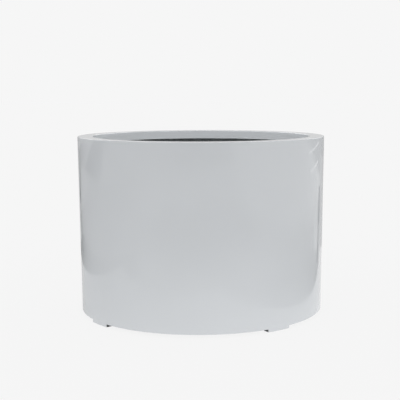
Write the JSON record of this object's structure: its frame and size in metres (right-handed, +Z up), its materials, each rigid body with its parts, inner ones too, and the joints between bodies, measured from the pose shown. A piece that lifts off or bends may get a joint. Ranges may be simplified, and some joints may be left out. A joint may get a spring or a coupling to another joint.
{
  "type": "floor planter",
  "caption": "Round floor planter moulded in glass fibre, with a flat inward rim, low flush feet and plugged floor drains.",
  "frame": {"origin": "on the ground, on the planter's axis, which is the bottom centre of its box", "axes": "+Z up along the planter's axis; +Y towards the rear, so the pictured side faces -Y; the feet lie at 45 degrees to X and Y"},
  "size_m": [1.0666, 1.0666, 0.762],
  "materials": {
    "gelcoat": "gloss",
    "laminate": "satin",
    "plywood": "matte",
    "foot_block": "matte",
    "rubber": "matte",
    "steel": "satin",
    "drain_plastic": "satin"
  },
  "bodies": {
    "planter": {"planter_shell": "gelcoat", "rim_overwrap": "laminate", "floor_bottom_skin": "laminate", "floor_core": "plywood", "floor_top_skin": "laminate", "corner_band": "laminate", "foot_washers": "steel", "foot_screws": "steel", "rim_core_right": "plywood", "rim_core_rear": "plywood", "rim_core_left": "plywood", "rim_core_front": "plywood", "foot_block_rear_right": "foot_block", "foot_block_rear_left": "foot_block", "foot_block_front_left": "foot_block", "foot_block_front_right": "foot_block", "foot_pad_rear_right": "rubber", "foot_pad_rear_left": "rubber", "foot_pad_front_left": "rubber", "foot_pad_front_right": "rubber", "drain_sleeve_right": "drain_plastic", "drain_sleeve_rear": "drain_plastic", "drain_sleeve_left": "drain_plastic", "drain_sleeve_front": "drain_plastic", "drain_gasket_right": "rubber", "drain_gasket_rear": "rubber", "drain_gasket_left": "rubber", "drain_gasket_front": "rubber", "drain_nut_right": "drain_plastic", "drain_nut_rear": "drain_plastic", "drain_nut_left": "drain_plastic", "drain_nut_front": "drain_plastic", "drain_screen_right": "steel", "drain_screen_rear": "steel", "drain_screen_left": "steel", "drain_screen_front": "steel"},
    "plug_right": {"drain_plug_right": "rubber"},
    "plug_rear": {"drain_plug_rear": "rubber"},
    "plug_left": {"drain_plug_left": "rubber"},
    "plug_front": {"drain_plug_front": "rubber"}
  },
  "joints": [
    {"name": "pull_right", "type": "slide", "parent": "planter", "child": "plug_right", "axis": [0, 0, 1], "range_m": [0, 0.75]},
    {"name": "pull_rear", "type": "slide", "parent": "planter", "child": "plug_rear", "axis": [0, 0, 1], "range_m": [0, 0.75]},
    {"name": "pull_left", "type": "slide", "parent": "planter", "child": "plug_left", "axis": [0, 0, 1], "range_m": [0, 0.75]},
    {"name": "pull_front", "type": "slide", "parent": "planter", "child": "plug_front", "axis": [0, 0, 1], "range_m": [0, 0.75]}
  ]
}
